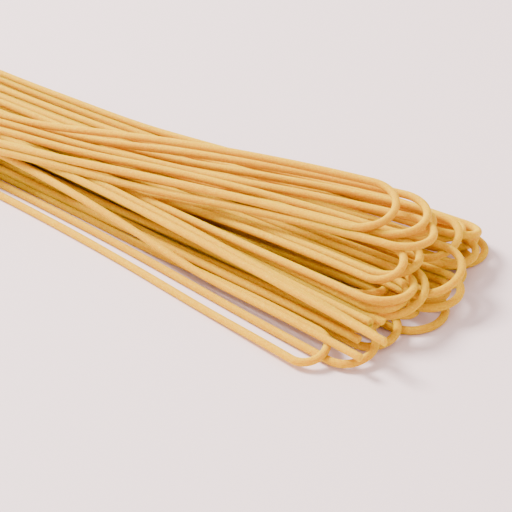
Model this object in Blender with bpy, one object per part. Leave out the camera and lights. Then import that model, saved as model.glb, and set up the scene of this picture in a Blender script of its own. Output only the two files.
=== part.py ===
"""Bundle of dry spaghetti.

Long strands, each doubled over a drying rod, lie in a fan with a second sheaf across it. The
bundle is one solid: filled below its uneven top, flat underneath, loops towards +X.
Sizes are in millimetres up to build_solid, which turns them into metres.
"""
import math
from collections import namedtuple

import bmesh
import bpy
import numpy as np

MM = 0.001

STRAND_RADIUS = 1.05
LEG_LENGTH = 248.0
LEG_UNEVENNESS = 3.0
POINT_SPACING = 1.0

# How the strands lie on one another.
TIGHTEST_LIE = 0.0016       # curvature, per mm, that a strand takes as it lies over others
LIE_ROUNDING = 9            # mm over which such a curve eases in and out
PRESSED_IN = 0.45           # how much lower than stacked a crossing strand settles
GRID_CELL = 0.3
FIELD_X = (-240.0, 80.0)
FIELD_Y = (-90.0, 80.0)

# A fan narrows evenly behind its loops, then runs on nearly parallel to its cut ends.
NARROWING_RUN = 50.0
EASING_RUN = 110.0

# The solid's skin.
SKIN_CELL = 0.7             # of the fine grid that is shaped first
SKIN_REACH = 1.6            # how far, in strand radii, a strand's flank spreads before bare ground
FLANK_START = 0.8           # in strand radii: further out the flank is a straight slope
FLANK_SLOPE = 2.0
BARE_GROUND = -1.0
PIT_HEIGHT = 0.6            # height of the web over a bare spot too narrow to stay open
TRIANGLES = 8300            # kept in the skin before it is cut off at the ground
SMALLEST_EDGE = 0.01

Fan = namedtuple("Fan", "x y heading narrowing")
Hairpin = namedtuple("Hairpin", "tip_x tip_y width turn far_height slides")

LOWER_FAN = Fan(x=40, y=6, heading=0, narrowing=0.0034)
UPPER_SHEAF = Fan(x=35, y=19, heading=11.5, narrowing=0.0022)

BEND_WIDTH = 16


def hairpin(tip_x, tip_y, width=BEND_WIDTH, turn=0.0, far_height=0.0, slides=1.0):
    return Hairpin(tip_x, tip_y, width, turn, far_height, slides)


def loose_strand(end_x, end_y, turn=0.0):
    return Hairpin(end_x, end_y, 0, turn, 0.0, 1.0)


# Lowest first. far_height tips the far leg up at the bend; slides is how far a strand
# may shift sideways to find a lower place.
LOWER_HAIRPINS = (
    hairpin(55.7, 3.1, 18.1, turn=0.3, slides=0),
    hairpin(51.2, -11.7, 13.8),
    hairpin(51.1, -20.8, 14.7, turn=0.1, slides=0),
    hairpin(48.3, 34.4, 17, turn=1, slides=0),
    hairpin(50.3, 21.1, 9.4, turn=-0.2, slides=0),
    hairpin(42.5, -28.3, 11.2, far_height=3.2, slides=0),
    hairpin(51.7, 11.3, 10.2, turn=-0.1, slides=0),
    hairpin(47, -13.2, 10.1, turn=-0.1, slides=0),
    loose_strand(48.5, -17.8),
    loose_strand(48, -19.8, turn=0.3),
    hairpin(48.5, 27, 8.9, turn=0.6, slides=0),
    hairpin(50.3, -1, 9, slides=0),
    hairpin(56.4, 9.5, 16.2),
    hairpin(45.3, 33.9, 17, turn=-0.4, slides=0),
    hairpin(50.5, 24.9, 13.1, turn=-0.2),
    hairpin(43.7, 29.7, 15.1, turn=-0.8, slides=0),
    hairpin(46.8, 32.7, 15.6, turn=-0.3, slides=0),
    hairpin(47.2, 22.3, 14),
    hairpin(40.9, -0.9, 13.4, slides=0),
    hairpin(55.4, 10, 18.2, far_height=10),
    hairpin(52.8, -3.5, 17.4, turn=0.1, far_height=7),
    loose_strand(44.2, -10.8, turn=0.4),
    loose_strand(50.5, -12.5, turn=0.5),
    hairpin(50.3, -6, 14.4, turn=0.2),
    hairpin(50.9, -4.3, 17.5),
    hairpin(46.5, 3.6, turn=0.6),
    hairpin(45.8, -1, 11.5, turn=0.1),
    loose_strand(49.1, -16),
    loose_strand(51.6, -19.1, turn=-0.6),
    loose_strand(56.8, -21.5, turn=0.2),
    loose_strand(53, -25.4),
)
UPPER_HAIRPINS = (
    hairpin(40.7, 20.9, 15.5, turn=-0.4, slides=0),
    hairpin(46.1, 13.7, 16.9, turn=-0.1, far_height=13.4),
    hairpin(41.1, 18.1, 19, turn=-0.1, far_height=18.6),
    hairpin(34.4, 13.5, 19.2, turn=-0.4, far_height=22),
)


def kept_width(behind, narrowing):
    """Share of its width that a fan keeps at a distance behind its loops."""
    evenly = np.clip(behind, -20, NARROWING_RUN)
    easing = np.clip(behind - NARROWING_RUN, 0, EASING_RUN)
    return 1 - narrowing * (evenly + easing - easing ** 2 / (2 * EASING_RUN))


def strand_outline(width, leg):
    """A hairpin's centre line in its own plane, its tip at the origin, near leg first."""
    run = np.arange(leg, 0, -POINT_SPACING)
    if width == 0:
        return np.column_stack([-run, 0 * run])
    radius = width / 2
    angle = np.arange(-math.pi / 2, math.pi / 2, POINT_SPACING / radius)
    near = np.column_stack([-radius - run, np.full_like(run, -radius)])
    bend = np.column_stack([radius * np.cos(angle) - radius, radius * np.sin(angle)])
    far = near[::-1] * (1, -1)
    return np.concatenate([near, bend, far])


def turned(points, degrees):
    angle = math.radians(degrees)
    across = (-math.sin(angle), math.cos(angle))
    along = (math.cos(angle), math.sin(angle))
    return points[:, :1] * along + points[:, 1:] * across


def laid_in_fan(outline, strand, fan, shift, twist):
    """The outline seen from above, turned and narrowed as its fan is."""
    tip = turned(np.array([[strand.tip_x - fan.x, strand.tip_y + shift - fan.y]]), -fan.heading)
    tip[:, 1] /= kept_width(-tip[:, 0], fan.narrowing)
    points = turned(outline, strand.turn + twist) + tip
    points[:, 1] *= kept_width(-points[:, 0], fan.narrowing)
    return turned(points, fan.heading) + (fan.x, fan.y)


def lie_over(place, need):
    """Lowest gently curved line that clears every need along it."""
    apart = place[:, None] - place[None, :]
    height = (need[None, :] - TIGHTEST_LIE / 2 * apart ** 2).max(1)
    reach = np.arange(-3 * LIE_ROUNDING, 3 * LIE_ROUNDING + 1)
    weight = np.exp(-0.5 * (reach / LIE_ROUNDING) ** 2)
    padded = np.pad(height, 3 * LIE_ROUNDING, mode="edge")
    return np.convolve(padded, weight / weight.sum(), mode="valid")


class Pile:
    """The least height that a strand's centre can have, over a field of small cells."""

    def __init__(self):
        self.shape = [int((high - low) / GRID_CELL) for low, high in (FIELD_X, FIELD_Y)]
        self.height = np.full(self.shape, STRAND_RADIUS)
        reach = int(2 * STRAND_RADIUS / GRID_CELL) + 1
        self.around = [(i, j) for i in range(-reach, reach + 1) for j in range(-reach, reach + 1)]

    def add(self, points):
        steps = np.linalg.norm(np.diff(points, axis=0), axis=1)
        length = np.concatenate([[0], np.cumsum(steps)])
        fine = np.arange(0, length[-1], GRID_CELL * 0.7)
        x, y, z = (np.interp(fine, length, points[:, axis]) for axis in range(3))
        column = np.floor((x - FIELD_X[0]) / GRID_CELL).astype(int)
        row = np.floor((y - FIELD_Y[0]) / GRID_CELL).astype(int)
        for i, j in self.around:
            away_x = FIELD_X[0] + (column + i + 0.5) * GRID_CELL - x
            away_y = FIELD_Y[0] + (row + j + 0.5) * GRID_CELL - y
            rise = 4 * STRAND_RADIUS ** 2 - away_x ** 2 - away_y ** 2
            near = rise > 0
            cells = (column[near] + i, row[near] + j)
            np.maximum.at(self.height, cells, z[near] + np.sqrt(rise[near]))

    def need(self, points):
        column = ((points[:, 0] - FIELD_X[0]) / GRID_CELL - 0.5).astype(int)
        row = ((points[:, 1] - FIELD_Y[0]) / GRID_CELL - 0.5).astype(int)
        around = [self.height[column + i, row + j] for i in (0, 1) for j in (0, 1)]
        return np.maximum(np.max(around, axis=0) - PRESSED_IN, STRAND_RADIUS)


def lowest_place(pile, outline, strand, fan):
    """The strand seen from above, shifted and turned a little to where it lies lowest."""
    if strand.slides == 0:
        points = laid_in_fan(outline, strand, fan, 0, 0)
        return points, pile.need(points)
    shifts = np.arange(-strand.slides, strand.slides + 0.1, strand.slides / 2)
    best = None
    for shift in shifts:
        for twist in (-0.3, 0, 0.3):
            points = laid_in_fan(outline, strand, fan, shift, twist)
            need = pile.need(points)
            score = need.mean() + 0.15 * abs(shift)
            if best is None or score < best[0]:
                best = (score, points, need)
    return best[1], best[2]


def hairpin_heights(outline, need, strand, leg):
    """Heights along a hairpin, whose bend may tip sideways between its two legs."""
    radius = strand.width / 2
    place = np.arange(-leg - radius - 2, 1.01, POINT_SPACING)
    index = np.clip(np.round(outline[:, 0] - place[0]).astype(int), 0, len(place) - 1)
    share = np.clip(outline[:, 1] / strand.width + 0.5, 0, 1)
    on_leg = outline[:, 0] <= -radius
    near_need = np.full(len(place), STRAND_RADIUS)
    far_need = near_need.copy()
    on_near = on_leg & (outline[:, 1] < 0)
    on_far = on_leg & (outline[:, 1] >= 0)
    np.maximum.at(near_need, index[on_near], need[on_near])
    np.maximum.at(far_need, index[on_far], need[on_far])
    bend_start = int(round(-radius - place[0]))
    far_need[bend_start] = max(far_need[bend_start], strand.far_height)
    spread = (1 - share) ** 2 + share ** 2
    for _ in range(12):
        near = np.interp(outline[:, 0], place, lie_over(place, near_need))
        far = np.interp(outline[:, 0], place, lie_over(place, far_need))
        height = (1 - share) * near + share * far
        short = need - height
        if short.max() < 0.05:
            break
        lift_near = (short > 0.02) & (share < 0.999)
        lift_far = (short > 0.02) & (share > 0.001)
        raised_near = near + short * (1 - share) / spread
        raised_far = far + short * share / spread
        np.maximum.at(near_need, index[lift_near], raised_near[lift_near])
        np.maximum.at(far_need, index[lift_far], raised_far[lift_far])
    return height


def lay_bundle():
    """Centre lines of all the strands, laid one after another from the lowest up."""
    pile = Pile()
    laid = []
    for fan, strands in ((LOWER_FAN, LOWER_HAIRPINS), (UPPER_SHEAF, UPPER_HAIRPINS)):
        for strand in strands:
            leg = LEG_LENGTH + LEG_UNEVENNESS * math.sin(2.4 * len(laid))
            outline = strand_outline(strand.width, leg)
            points, need = lowest_place(pile, outline, strand, fan)
            if strand.width == 0:
                height = lie_over(outline[:, 0], need)
            else:
                height = hairpin_heights(outline, need, strand, leg)
            line = np.column_stack([points, height])
            pile.add(line)
            laid.append(line)
    return laid


def skin_heights(laid, columns, rows):
    """Height of the bundle's skin over a grid: round over each strand, steep beside it.

    Bare ground comes out below zero.
    """
    skin = np.full((len(columns), len(rows)), BARE_GROUND)
    reach = int(SKIN_REACH * STRAND_RADIUS / SKIN_CELL) + 1
    for x, y, z in np.concatenate(laid):
        column = int((x - columns[0]) / SKIN_CELL)
        row = int((y - rows[0]) / SKIN_CELL)
        across = slice(max(column - reach, 0), column + reach + 2)
        along = slice(max(row - reach, 0), row + reach + 2)
        away = np.hypot(*np.meshgrid(columns[across] - x, rows[along] - y, indexing="ij"))
        away /= STRAND_RADIUS
        crown = np.sqrt(np.clip(1 - away ** 2, 0, 1))
        flank = math.sqrt(1 - FLANK_START ** 2) - FLANK_SLOPE * (away - FLANK_START)
        rise = np.where(away < FLANK_START, crown, flank)
        edge = np.where(away < SKIN_REACH, z + STRAND_RADIUS * rise, BARE_GROUND)
        skin[across, along] = np.maximum(skin[across, along], edge)
    return skin


def close_pits(skin):
    """Covers bare spots that are too narrow to stay open."""
    solid = np.pad(skin > 0, 2)
    window = [(i, j) for i in (0, 1, 2) for j in (0, 1, 2)]
    size = [length + 2 for length in skin.shape]
    grown = np.any([solid[i:i + size[0], j:j + size[1]] for i, j in window], axis=0)
    kept = np.all([grown[i:i + skin.shape[0], j:j + skin.shape[1]] for i, j in window], axis=0)
    return np.where(kept & (skin <= 0), PIT_HEIGHT, skin)


def shaped_skin(laid):
    """A fine grid raised to the bundle's skin."""
    points = np.concatenate(laid)
    margin = SKIN_REACH * STRAND_RADIUS + 2 * SKIN_CELL
    low = points.min(0) - margin
    high = points.max(0) + margin
    columns = np.arange(low[0], high[0], SKIN_CELL)
    rows = np.arange(low[1], high[1], SKIN_CELL)
    heights = close_pits(skin_heights(laid, columns, rows))

    skin = bmesh.new()
    bmesh.ops.create_grid(skin, x_segments=len(columns) - 1, y_segments=len(rows) - 1, size=1)
    for vert in skin.verts:
        column = round((vert.co.x + 1) / 2 * (len(columns) - 1))
        row = round((vert.co.y + 1) / 2 * (len(rows) - 1))
        vert.co = (columns[column] * MM, rows[row] * MM, heights[column, row] * MM)
    bmesh.ops.triangulate(skin, faces=skin.faces)
    return skin


def thinned_out(skin, triangles):
    """The same skin with fewer facets, the ones it keeps running along the strands."""
    fine = bpy.data.meshes.new("fine_skin")
    skin.to_mesh(fine)
    holder = bpy.data.objects.new("fine_skin", fine)
    bpy.context.scene.collection.objects.link(holder)
    decimate = holder.modifiers.new("fewer_facets", "DECIMATE")
    decimate.ratio = triangles / len(fine.polygons)
    evaluated = holder.evaluated_get(bpy.context.evaluated_depsgraph_get())
    coarse = bpy.data.meshes.new_from_object(evaluated)
    skin.clear()
    skin.from_mesh(coarse)
    bpy.data.objects.remove(holder)


def cut_at_ground(skin):
    """Leaves what stands above the ground, its rim exactly level."""
    everything = skin.verts[:] + skin.edges[:] + skin.faces[:]
    bmesh.ops.bisect_plane(
        skin, geom=everything, dist=SMALLEST_EDGE * MM,
        plane_co=(0, 0, 0), plane_no=(0, 0, 1), clear_inner=True)
    for vert in skin.verts:
        if vert.is_boundary:
            vert.co.z = 0


def close_underside(solid):
    """A flat underside across the rim, open where the ground shows through."""
    rim = [edge for edge in solid.edges if edge.is_boundary]
    bmesh.ops.triangle_fill(solid, edges=rim, use_beauty=True, normal=(0, 0, -1))
    bmesh.ops.recalc_face_normals(solid, faces=solid.faces)


def keep_main_piece(solid):
    """Drops scraps that the cut left beside the bundle."""
    seen = set()
    pieces = []
    for start in solid.verts:
        if start in seen:
            continue
        seen.add(start)
        piece = [start]
        for vert in piece:
            beside = [edge.other_vert(vert) for edge in vert.link_edges]
            fresh = [other for other in beside if other not in seen]
            seen.update(fresh)
            piece.extend(fresh)
        pieces.append(piece)
    pieces.sort(key=len)
    scraps = [vert for piece in pieces[:-1] for vert in piece]
    bmesh.ops.delete(solid, geom=scraps, context="VERTS")


def centre_on_origin(solid):
    corners = np.array([vert.co[:2] for vert in solid.verts])
    middle = (corners.min(0) + corners.max(0)) / 2
    bmesh.ops.translate(solid, verts=solid.verts, vec=(-middle[0], -middle[1], 0))


def build_solid(laid):
    solid = shaped_skin(laid)
    thinned_out(solid, TRIANGLES)
    cut_at_ground(solid)
    keep_main_piece(solid)
    bmesh.ops.dissolve_degenerate(solid, edges=solid.edges, dist=SMALLEST_EDGE * MM)
    bmesh.ops.triangulate(solid, faces=solid.faces)
    close_underside(solid)
    centre_on_origin(solid)
    return solid


def pasta_material():
    material = bpy.data.materials.new("dry_semolina_pasta")
    material.use_nodes = True
    shader = material.node_tree.nodes["Principled BSDF"]
    shader.inputs["Base Color"].default_value = (0.78, 0.55, 0.22, 1)
    shader.inputs["Roughness"].default_value = 0.6
    shader.inputs["Metallic"].default_value = 0
    return material


def main():
    for old in list(bpy.data.objects):
        bpy.data.objects.remove(old, do_unlink=True)
    collection = bpy.data.collections.new("dry_spaghetti_bundle")
    bpy.context.scene.collection.children.link(collection)

    mesh = bpy.data.meshes.new("spaghetti_bundle")
    solid = build_solid(lay_bundle())
    solid.to_mesh(mesh)
    solid.free()
    mesh.materials.append(pasta_material())
    mesh.shade_smooth()
    mesh.set_sharp_from_angle(angle=math.radians(50))
    bundle = bpy.data.objects.new("spaghetti_bundle", mesh)
    collection.objects.link(bundle)


main()
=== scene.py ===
# Bundle of dry spaghetti. Long strands, each doubled over a drying rod, lie in a fan, with a
# second sheaf across it. Every strand is laid on the ones below and made as a round tube.
# Sizes are in millimetres until a mesh, lamp or camera is made.
import math

import bpy
import numpy as np
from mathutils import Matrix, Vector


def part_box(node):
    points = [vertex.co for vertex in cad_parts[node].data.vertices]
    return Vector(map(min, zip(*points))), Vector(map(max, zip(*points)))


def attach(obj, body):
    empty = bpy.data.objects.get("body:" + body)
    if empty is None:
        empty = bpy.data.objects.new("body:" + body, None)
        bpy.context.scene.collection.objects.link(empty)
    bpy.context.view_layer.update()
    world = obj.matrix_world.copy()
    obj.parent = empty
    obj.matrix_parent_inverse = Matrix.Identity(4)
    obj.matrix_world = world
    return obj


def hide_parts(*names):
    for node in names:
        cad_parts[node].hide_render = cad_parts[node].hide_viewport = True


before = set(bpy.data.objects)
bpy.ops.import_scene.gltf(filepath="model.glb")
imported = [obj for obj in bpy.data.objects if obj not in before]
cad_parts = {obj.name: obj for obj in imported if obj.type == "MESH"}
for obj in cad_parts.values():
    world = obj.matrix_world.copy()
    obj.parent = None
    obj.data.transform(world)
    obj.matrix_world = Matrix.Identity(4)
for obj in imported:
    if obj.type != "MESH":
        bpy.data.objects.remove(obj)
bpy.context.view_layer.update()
bundleLow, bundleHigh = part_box("spaghetti_bundle")
mm = 0.001
randomness = np.random.default_rng(7)


# ---- how a strand is shaped and how it lies ----
strandShape = {
    "radius": 1.05,         # a 2.1 mm strand
    "leg": 248.0,           # from the bend to the cut end
    "legUnevenness": 3.0,   # cut ends don't line up
    "pointSpacing": 1.0,
    "bendWidth": 16,        # between the two legs of a hairpin
}
lying = {
    "tightest": 0.0016,     # curvature, per mm, of a strand that lies over others
    "rounding": 9,          # over how many mm it eases in and out
    "pressedIn": 0.45,      # a crossing strand settles this much lower than stacked
    "cell": 0.3,
    "fieldX": (-240.0, 80.0),
    "fieldY": (-90.0, 80.0),
    "narrowingRun": 50.0,  # a fan narrows evenly for this long behind its loops
    "easingRun": 110.0,     # and then eases until its strands are parallel
}


def hairpin(x, y, width=strandShape["bendWidth"], turn=0.0, farHeight=0.0, slides=1.0):
    return {"x": x, "y": y, "width": width, "turn": turn, "farHeight": farHeight, "slides": slides}


def looseStrand(x, y, turn=0.0):  # straight, with its cut end among the loops
    return {"x": x, "y": y, "width": 0, "turn": turn, "farHeight": 0.0, "slides": 1.0}


# Strands are listed lowest first. x and y are the tip of the bend, farHeight tips the far leg
# up at the bend, and slides is how far a strand may shift to find a lower place.
lowerFan = {
    "x": 40, "y": 6, "heading": 0, "narrowing": 0.0034,
    "strands": [
        hairpin(55.7, 3.1, 18.1, turn=0.3, slides=0),
        hairpin(51.2, -11.7, 13.8),
        hairpin(51.1, -20.8, 14.7, turn=0.1, slides=0),
        hairpin(48.3, 34.4, 17, turn=1, slides=0),
        hairpin(50.3, 21.1, 9.4, turn=-0.2, slides=0),
        hairpin(42.5, -28.3, 11.2, farHeight=3.2, slides=0),
        hairpin(51.7, 11.3, 10.2, turn=-0.1, slides=0),
        hairpin(47, -13.2, 10.1, turn=-0.1, slides=0),
        looseStrand(48.5, -17.8),
        looseStrand(48, -19.8, turn=0.3),
        hairpin(48.5, 27, 8.9, turn=0.6, slides=0),
        hairpin(50.3, -1, 9, slides=0),
        hairpin(56.4, 9.5, 16.2),
        hairpin(45.3, 33.9, 17, turn=-0.4, slides=0),
        hairpin(50.5, 24.9, 13.1, turn=-0.2),
        hairpin(43.7, 29.7, 15.1, turn=-0.8, slides=0),
        hairpin(46.8, 32.7, 15.6, turn=-0.3, slides=0),
        hairpin(47.2, 22.3, 14),
        hairpin(40.9, -0.9, 13.4, slides=0),
        hairpin(55.4, 10, 18.2, farHeight=10),
        hairpin(52.8, -3.5, 17.4, turn=0.1, farHeight=7),
        looseStrand(44.2, -10.8, turn=0.4),
        looseStrand(50.5, -12.5, turn=0.5),
        hairpin(50.3, -6, 14.4, turn=0.2),
        hairpin(50.9, -4.3, 17.5),
        hairpin(46.5, 3.6, turn=0.6),
        hairpin(45.8, -1, 11.5, turn=0.1),
        looseStrand(49.1, -16),
        looseStrand(51.6, -19.1, turn=-0.6),
        looseStrand(56.8, -21.5, turn=0.2),
        looseStrand(53, -25.4),
    ],
}
upperSheaf = {
    "x": 35, "y": 19, "heading": 11.5, "narrowing": 0.0022,
    "strands": [
        hairpin(40.7, 20.9, 15.5, turn=-0.4, slides=0),
        hairpin(46.1, 13.7, 16.9, turn=-0.1, farHeight=13.4),
        hairpin(41.1, 18.1, 19, turn=-0.1, farHeight=18.6),
        hairpin(34.4, 13.5, 19.2, turn=-0.4, farHeight=22),
    ],
}


def keptWidth(behind, narrowing):  # share of its width that a fan keeps behind its loops
    evenly = np.clip(behind, -20, lying["narrowingRun"])
    easing = np.clip(behind - lying["narrowingRun"], 0, lying["easingRun"])
    return 1 - narrowing * (evenly + easing - easing ** 2 / (2 * lying["easingRun"]))


def strandOutline(width, leg):  # centre line seen from above, tip at the origin, near leg first
    spacing = strandShape["pointSpacing"]
    run = np.arange(leg, 0, -spacing)
    if width == 0:
        return np.column_stack([-run, 0 * run])
    radius = width / 2
    angle = np.arange(-math.pi / 2, math.pi / 2, spacing / radius)
    near = np.column_stack([-radius - run, np.full_like(run, -radius)])
    bend = np.column_stack([radius * np.cos(angle) - radius, radius * np.sin(angle)])
    return np.concatenate([near, bend, near[::-1] * (1, -1)])


def turned(points, degrees):
    angle = math.radians(degrees)
    across = (-math.sin(angle), math.cos(angle))
    along = (math.cos(angle), math.sin(angle))
    return points[:, :1] * along + points[:, 1:] * across


def laidInFan(outline, strand, fan, shift, twist):
    tip = np.array([[strand["x"] - fan["x"], strand["y"] + shift - fan["y"]]])
    tip = turned(tip, -fan["heading"])
    tip[:, 1] /= keptWidth(-tip[:, 0], fan["narrowing"])
    points = turned(outline, strand["turn"] + twist) + tip
    points[:, 1] *= keptWidth(-points[:, 0], fan["narrowing"])
    return turned(points, fan["heading"]) + (fan["x"], fan["y"])


def lieOver(place, need):  # lowest gently curved line that clears every need along it
    apart = place[:, None] - place[None, :]
    height = (need[None, :] - lying["tightest"] / 2 * apart ** 2).max(1)
    rounding = lying["rounding"]
    reach = np.arange(-3 * rounding, 3 * rounding + 1)
    weight = np.exp(-0.5 * (reach / rounding) ** 2)
    padded = np.pad(height, 3 * rounding, mode="edge")
    return np.convolve(padded, weight / weight.sum(), mode="valid")


class Pile:  # over small cells, the least height that the next strand's centre can have
    def __init__(self):
        radius = strandShape["radius"]
        spans = (lying["fieldX"], lying["fieldY"])
        shape = [int((high - low) / lying["cell"]) for low, high in spans]
        self.height = np.full(shape, radius)
        reach = int(2 * radius / lying["cell"]) + 1
        self.around = [(i, j) for i in range(-reach, reach + 1) for j in range(-reach, reach + 1)]

    def add(self, points):
        cell, lowX, lowY = lying["cell"], lying["fieldX"][0], lying["fieldY"][0]
        steps = np.linalg.norm(np.diff(points, axis=0), axis=1)
        length = np.concatenate([[0], np.cumsum(steps)])
        fine = np.arange(0, length[-1], cell * 0.7)
        x, y, z = (np.interp(fine, length, points[:, axis]) for axis in range(3))
        column = np.floor((x - lowX) / cell).astype(int)
        row = np.floor((y - lowY) / cell).astype(int)
        for i, j in self.around:
            awayX = lowX + (column + i + 0.5) * cell - x
            awayY = lowY + (row + j + 0.5) * cell - y
            rise = 4 * strandShape["radius"] ** 2 - awayX ** 2 - awayY ** 2
            near = rise > 0
            cells = (column[near] + i, row[near] + j)
            np.maximum.at(self.height, cells, z[near] + np.sqrt(rise[near]))

    def need(self, points):
        column = ((points[:, 0] - lying["fieldX"][0]) / lying["cell"] - 0.5).astype(int)
        row = ((points[:, 1] - lying["fieldY"][0]) / lying["cell"] - 0.5).astype(int)
        around = [self.height[column + i, row + j] for i in (0, 1) for j in (0, 1)]
        return np.maximum(np.max(around, axis=0) - lying["pressedIn"], strandShape["radius"])


def lowestPlace(pile, outline, strand, fan):  # shifted and turned a little to lie lowest
    if strand["slides"] == 0:
        points = laidInFan(outline, strand, fan, 0, 0)
        return points, pile.need(points)
    best = None
    for shift in np.arange(-strand["slides"], strand["slides"] + 0.1, strand["slides"] / 2):
        for twist in (-0.3, 0, 0.3):
            points = laidInFan(outline, strand, fan, shift, twist)
            need = pile.need(points)
            score = need.mean() + 0.15 * abs(shift)
            if best is None or score < best[0]:
                best = (score, points, need)
    return best[1], best[2]


def hairpinHeights(outline, need, strand, leg):  # the bend may tip sideways between its legs
    radius = strand["width"] / 2
    place = np.arange(-leg - radius - 2, 1.01, strandShape["pointSpacing"])
    index = np.clip(np.round(outline[:, 0] - place[0]).astype(int), 0, len(place) - 1)
    share = np.clip(outline[:, 1] / strand["width"] + 0.5, 0, 1)
    onLeg = outline[:, 0] <= -radius
    nearNeed = np.full(len(place), strandShape["radius"])
    farNeed = nearNeed.copy()
    onNear = onLeg & (outline[:, 1] < 0)
    onFar = onLeg & (outline[:, 1] >= 0)
    np.maximum.at(nearNeed, index[onNear], need[onNear])
    np.maximum.at(farNeed, index[onFar], need[onFar])
    bendStart = int(round(-radius - place[0]))
    farNeed[bendStart] = max(farNeed[bendStart], strand["farHeight"])
    spread = (1 - share) ** 2 + share ** 2
    for _ in range(12):
        near = np.interp(outline[:, 0], place, lieOver(place, nearNeed))
        far = np.interp(outline[:, 0], place, lieOver(place, farNeed))
        height = (1 - share) * near + share * far
        short = need - height
        if short.max() < 0.05:
            break
        liftNear = (short > 0.02) & (share < 0.999)
        liftFar = (short > 0.02) & (share > 0.001)
        raisedNear = near + short * (1 - share) / spread
        raisedFar = far + short * share / spread
        np.maximum.at(nearNeed, index[liftNear], raisedNear[liftNear])
        np.maximum.at(farNeed, index[liftFar], raisedFar[liftFar])
    return height


def layBundle():  # all the centre lines, from the lowest strand up
    pile = Pile()
    laid = []
    for fan in (lowerFan, upperSheaf):
        for strand in fan["strands"]:
            unevenness = strandShape["legUnevenness"] * math.sin(2.4 * len(laid))
            leg = strandShape["leg"] + unevenness
            outline = strandOutline(strand["width"], leg)
            points, need = lowestPlace(pile, outline, strand, fan)
            if strand["width"] == 0:
                height = lieOver(outline[:, 0], need)
            else:
                height = hairpinHeights(outline, need, strand, leg)
            line = np.column_stack([points, height])
            pile.add(line)
            laid.append({"line": line, "strand": strand, "fan": fan})
    return laid


# ---- strands as tubes ----
tube = {
    "sides": 12,
    "legStep": 3,           # centre-line points between sections on a leg
    "thicknessChange": 0.02,  # share by which a strand's thickness drifts along it
    "thicknessRun": 40.0,   # mm for one such drift
    "endSlant": 0.25,       # tangent of the steepest cut end
    "endRounding": 0.16,    # mm taken off the edge of a cut end
}


def sectionsOf(line, width):  # fewer sections on the legs than round the bend
    legPoints = (len(line) - 1) // 2 - 14 if width else len(line) - 1
    kept = list(range(0, legPoints, tube["legStep"]))
    if width:
        kept += range(legPoints, len(line) - legPoints)
        kept += range(len(line) - legPoints, len(line) - 1, tube["legStep"])
    kept.append(len(line) - 1)
    return line[sorted(set(kept))]


def tubeAlong(line):  # points, faces and straightened-out coordinates of one strand
    sides = tube["sides"]
    radius = strandShape["radius"]
    forward = np.gradient(line, axis=0)
    forward /= np.linalg.norm(forward, axis=1)[:, None]
    side = np.cross((0, 0, 1), forward)
    side /= np.linalg.norm(side, axis=1)[:, None]
    up = np.cross(forward, side)
    steps = np.linalg.norm(np.diff(line, axis=0), axis=1)
    along = np.concatenate([[0], np.cumsum(steps)])
    drift = np.sin(along / tube["thicknessRun"] * 2 * math.pi + randomness.uniform(0, 6.3))
    thick = radius * (1 + tube["thicknessChange"] * drift)

    angle = np.arange(sides) / sides * 2 * math.pi
    ring = np.cos(angle)[:, None, None] * side + np.sin(angle)[:, None, None] * up
    rings = line + ring * thick[:, None]           # sides x sections x 3
    rings = rings.transpose(1, 0, 2)

    # each end is cut a little askew and loses its sharp edge
    firstEnd, lastEnd = [], []
    for rows, at, outward in ((firstEnd, 0, -1), (lastEnd, -1, 1)):
        slant = randomness.uniform(-tube["endSlant"], tube["endSlant"], 2)
        lean = slant[0] * np.cos(angle) + slant[1] * np.sin(angle)
        cut = rings[at] + (lean * radius)[:, None] * forward[at]
        share = 1 - tube["endRounding"] / radius
        rim = line[at] + (cut - line[at]) * share
        rim = rim + outward * tube["endRounding"] * forward[at]
        middle = rim.mean(0)
        rows += [cut, rim, middle]
    rings[0], rings[-1] = firstEnd[0], lastEnd[0]
    points = np.concatenate([
        firstEnd[2][None], firstEnd[1], rings.reshape(-1, 3), lastEnd[1], lastEnd[2][None]])

    faces = []
    count = len(line) + 2
    for row in range(count - 1):
        for k in range(sides):
            low = 1 + row * sides
            after = (k + 1) % sides
            faces.append((low + k, low + after, low + sides + after, low + sides + k))
    top = len(points) - 1
    for k in range(sides):
        after = (k + 1) % sides
        faces.append((0, 1 + after, 1 + k))
        faces.append((top, top - sides + k, top - sides + after))

    straight = np.zeros((count, sides, 3))
    straight[:, :, 0] = np.cos(angle) * radius
    straight[:, :, 1] = np.sin(angle) * radius
    straight[1:-1, :, 2] = along[:, None]
    straight[-1, :, 2] = along[-1]
    ends = np.array([[0, 0, 0], [0, 0, along[-1]]])
    straight = np.concatenate([ends[:1], straight.reshape(-1, 3), ends[1:]])
    return points, faces, straight


def joinedStrands(name, laid, move):  # one mesh of many strands, standing where the CAD is
    points, faces, straight, tones = [], [], [], []
    start = 0
    for item in laid:
        line = sectionsOf(item["line"], item["strand"]["width"])
        tubePoints, tubeFaces, tubeStraight = tubeAlong(line)
        points.append(tubePoints)
        faces += [tuple(corner + start for corner in face) for face in tubeFaces]
        straight.append(tubeStraight + (0, 0, randomness.uniform(0, 5000)))
        tones.append(np.full(len(tubePoints), randomness.uniform(0, 1)))
        start += len(tubePoints)
    points = (np.concatenate(points) + move) * mm
    mesh = bpy.data.meshes.new(name)
    mesh.from_pydata(points.tolist(), [], faces)
    mesh.shade_smooth()
    mesh.set_sharp_from_angle(angle=math.radians(50))
    straightened = mesh.attributes.new("straightened", "FLOAT_VECTOR", "POINT")
    straightened.data.foreach_set("vector", np.concatenate(straight).ravel())
    tone = mesh.attributes.new("strandTone", "FLOAT", "POINT")
    tone.data.foreach_set("value", np.concatenate(tones))
    piece = bpy.data.objects.new(name, mesh)
    bpy.context.scene.collection.objects.link(piece)
    return piece


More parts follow.
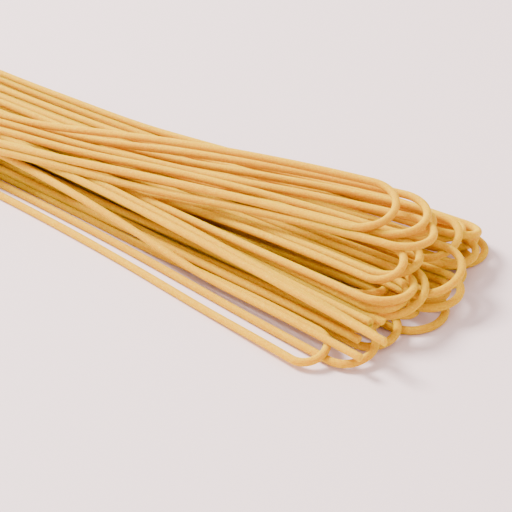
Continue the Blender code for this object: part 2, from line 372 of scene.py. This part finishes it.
# ---- materials ----
def linearColour(code):  # sRGB hex value to the linear colour that a shader takes
    parts = [int(code[i:i + 2], 16) / 255 for i in (1, 3, 5)]
    return [p / 12.92 if p <= 0.04045 else ((p + 0.055) / 1.055) ** 2.4 for p in parts] + [1]


def addNode(tree, kind, options, inputs):  # an input is a value or another node's output
    node = tree.nodes.new(kind)
    for name, value in options.items():
        setattr(node, name, value)
    for name, value in inputs.items():
        if isinstance(value, bpy.types.NodeSocket):
            tree.links.new(value, node.inputs[name])
        else:
            node.inputs[name].default_value = value
    return node


# Durum semolina pushed through a bronze die and dried: a matt, deep yellow body that lets a
# little warm light in, fine pale grain with painted shade in its small pits, paler floury
# patches and faint drag lines along the strand where the die roughened it.
pasta = {
    "deepYellow": "#d4a000",
    "paleYellow": "#d5a600",
    "flour": "#deb83c",
    "paintedPitShade": "#bc8900",      # painted shade for the small pits between the grains
    "roughness": 0.65,
    "ior": 1.5,
    "specular": 0.06,       # the rough skin scatters most of its shine
    "grain": 0.55,          # mm, coarser than semolina, so that it shows
    "bloomPatch": 8.0,      # mm across a floury patch
    "dragWidth": 0.35,      # mm across a line left by the die
    "dragLength": 14.0,
    "bump": 0.11,           # mm
    "lightDepth": 3.0,      # mm that red light travels inside
    "glow": 0.95,            # share of the light that goes in
    "toneSpread": 0.5,      # how much strands differ from each other in paleness
}


def semolinaPasta():
    material = bpy.data.materials.new("bronzeDrawnSemolinaPasta")
    material.use_nodes = True
    tree = material.node_tree
    shader = tree.nodes["Principled BSDF"]
    place = addNode(tree, "ShaderNodeAttribute", {"attribute_name": "straightened"}, {})
    tone = addNode(tree, "ShaderNodeAttribute", {"attribute_name": "strandTone"}, {})
    grain = addNode(tree, "ShaderNodeTexNoise", {}, {
        "Vector": place.outputs["Vector"], "Scale": 1 / pasta["grain"],
        "Detail": 3.0, "Roughness": 0.65})
    bloom = addNode(tree, "ShaderNodeTexNoise", {}, {
        "Vector": place.outputs["Vector"], "Scale": 1 / pasta["bloomPatch"],
        "Detail": 4.0, "Roughness": 0.65})
    dragScale = (1 / pasta["dragWidth"], 1 / pasta["dragWidth"], 1 / pasta["dragLength"])
    squeezed = addNode(tree, "ShaderNodeMapping", {}, {
        "Vector": place.outputs["Vector"], "Scale": dragScale})
    drag = addNode(tree, "ShaderNodeTexNoise", {}, {
        "Vector": squeezed.outputs["Vector"], "Scale": 1.0, "Detail": 2.0})

    paleness = addNode(tree, "ShaderNodeMath", {"operation": "MULTIPLY_ADD"}, {
        0: tone.outputs["Fac"], 1: pasta["toneSpread"], 2: bloom.outputs["Fac"]})
    bodyShare = addNode(tree, "ShaderNodeMapRange", {}, {
        "Value": paleness.outputs["Value"], "From Min": 0.35, "From Max": 1.15})
    body = addNode(tree, "ShaderNodeMixRGB", {}, {
        "Fac": bodyShare.outputs["Result"],
        "Color1": linearColour(pasta["deepYellow"]), "Color2": linearColour(pasta["paleYellow"])})
    # painted shade: where the grain is low, which the bump relief makes into pits, the colour is
    # darkened toward the pit shade
    pitShadeShare = addNode(tree, "ShaderNodeMapRange", {}, {
        "Value": grain.outputs["Fac"], "From Min": 0.47, "From Max": 0.3, "To Max": 0.6})
    pitShaded = addNode(tree, "ShaderNodeMixRGB", {}, {
        "Fac": pitShadeShare.outputs["Result"],
        "Color1": body.outputs["Color"], "Color2": linearColour(pasta["paintedPitShade"])})
    flourShare = addNode(tree, "ShaderNodeMapRange", {}, {
        "Value": grain.outputs["Fac"], "From Min": 0.54, "From Max": 0.72, "To Max": 0.8})
    dusted = addNode(tree, "ShaderNodeMixRGB", {}, {
        "Fac": flourShare.outputs["Result"],
        "Color1": pitShaded.outputs["Color"], "Color2": linearColour(pasta["flour"])})
    tree.links.new(dusted.outputs["Color"], shader.inputs["Base Color"])

    relief = addNode(tree, "ShaderNodeMath", {"operation": "MULTIPLY_ADD"}, {
        0: drag.outputs["Fac"], 1: 0.6, 2: grain.outputs["Fac"]})
    bump = addNode(tree, "ShaderNodeBump", {}, {
        "Height": relief.outputs["Value"], "Distance": pasta["bump"] * mm, "Strength": 1.0})
    tree.links.new(bump.outputs["Normal"], shader.inputs["Normal"])

    shader.inputs["Roughness"].default_value = pasta["roughness"]
    shader.inputs["IOR"].default_value = pasta["ior"]
    shader.inputs["Specular IOR Level"].default_value = pasta["specular"]
    shader.inputs["Subsurface Weight"].default_value = pasta["glow"]
    shader.inputs["Subsurface Radius"].default_value = (1.0, 0.8, 0.2)
    shader.inputs["Subsurface Scale"].default_value = pasta["lightDepth"] * mm
    return material


# ---- build ----
laid = layBundle()
print("laid", len(laid), "strands")
every = np.concatenate([item["line"] for item in laid])
radius = strandShape["radius"]
middle = (every.min(0) + every.max(0)) / 2
target = (np.array(bundleLow) + np.array(bundleHigh)) / 2 / mm
move = np.array([target[0] - middle[0], target[1] - middle[1], np.array(bundleLow)[2] / mm])

looks = semolinaPasta()
kinds = {
    "lowerFanHairpins": [i for i in laid if i["fan"] is lowerFan and i["strand"]["width"]],
    "upperSheafHairpins": [i for i in laid if i["fan"] is upperSheaf],
    "looseStrands": [i for i in laid if not i["strand"]["width"]],
}
for name, items in kinds.items():
    piece = joinedStrands(name, items, move)
    piece.data.materials.append(looks)
    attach(piece, "root")
    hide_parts("spaghetti_bundle")
    print(name, len(items), "strands,", len(piece.data.polygons), "faces")

# ---- floor, light and camera ----
floorLook = {"paint": "#f0dcdf", "roughness": 0.7, "ior": 1.5, "size": 4.0}
floorMaterial = bpy.data.materials.new("matPaintedBoard")  # even, pale and without shine
floorMaterial.use_nodes = True
paint = floorMaterial.node_tree.nodes["Principled BSDF"]
paint.inputs["Base Color"].default_value = linearColour(floorLook["paint"])
paint.inputs["Roughness"].default_value = floorLook["roughness"]
paint.inputs["IOR"].default_value = floorLook["ior"]
bpy.ops.mesh.primitive_plane_add(size=floorLook["size"])
floor = bpy.context.active_object
floor.name = "floor"
floor.data.materials.append(floorMaterial)

world = bpy.data.worlds.new("paleRoom")
world.use_nodes = True
world.node_tree.nodes["Background"].inputs["Color"].default_value = linearColour("#fff2ee")
world.node_tree.nodes["Background"].inputs["Strength"].default_value = 1.5
bpy.context.scene.world = world

view = {"azimuth": 38.0, "elevation": 33.0, "distance": 462.0, "lens": 122.3, "sensor": 36.0}
lamps = {  # place in metres from the loops, size of the softbox in metres, watts, colour
    "keySoftbox": {"at": (-0.9, -0.2, 1.0), "size": 0.5, "watts": 54, "colour": "#fffaf5"},
    "frontSoftbox": {"at": (-0.1, -1.1, 0.8), "size": 1.0, "watts": 3, "colour": "#fff6f0"},
}


def lookingAt(item, goal):
    direction = np.array(goal) - np.array(item.location)
    flat = math.hypot(direction[0], direction[1])
    item.rotation_euler = (
        math.pi / 2 + math.atan2(direction[2], flat), 0, math.atan2(-direction[0], direction[1]))


loops = move * (mm, mm, 0)  # the loops' place on the floor, which the view is centred on
for name, lamp in lamps.items():
    light = bpy.data.lights.new(name, "AREA")
    light.shape = "DISK"
    light.size = lamp["size"]
    light.energy = lamp["watts"]
    light.color = linearColour(lamp["colour"])[:3]
    softbox = bpy.data.objects.new(name, light)
    softbox.location = loops + np.array(lamp["at"])
    lookingAt(softbox, loops)
    bpy.context.scene.collection.objects.link(softbox)

azimuth = math.radians(view["azimuth"])
elevation = math.radians(view["elevation"])
away = np.array([
    math.sin(azimuth) * math.cos(elevation),
    -math.cos(azimuth) * math.cos(elevation),
    math.sin(elevation)])
camera = bpy.data.objects.new("camera", bpy.data.cameras.new("camera"))
camera.data.lens = view["lens"]
camera.data.sensor_width = view["sensor"]
camera.location = loops + away * view["distance"] * mm
lookingAt(camera, loops)
bpy.context.scene.collection.objects.link(camera)
bpy.context.scene.camera = camera
print("floor, light and camera are set")
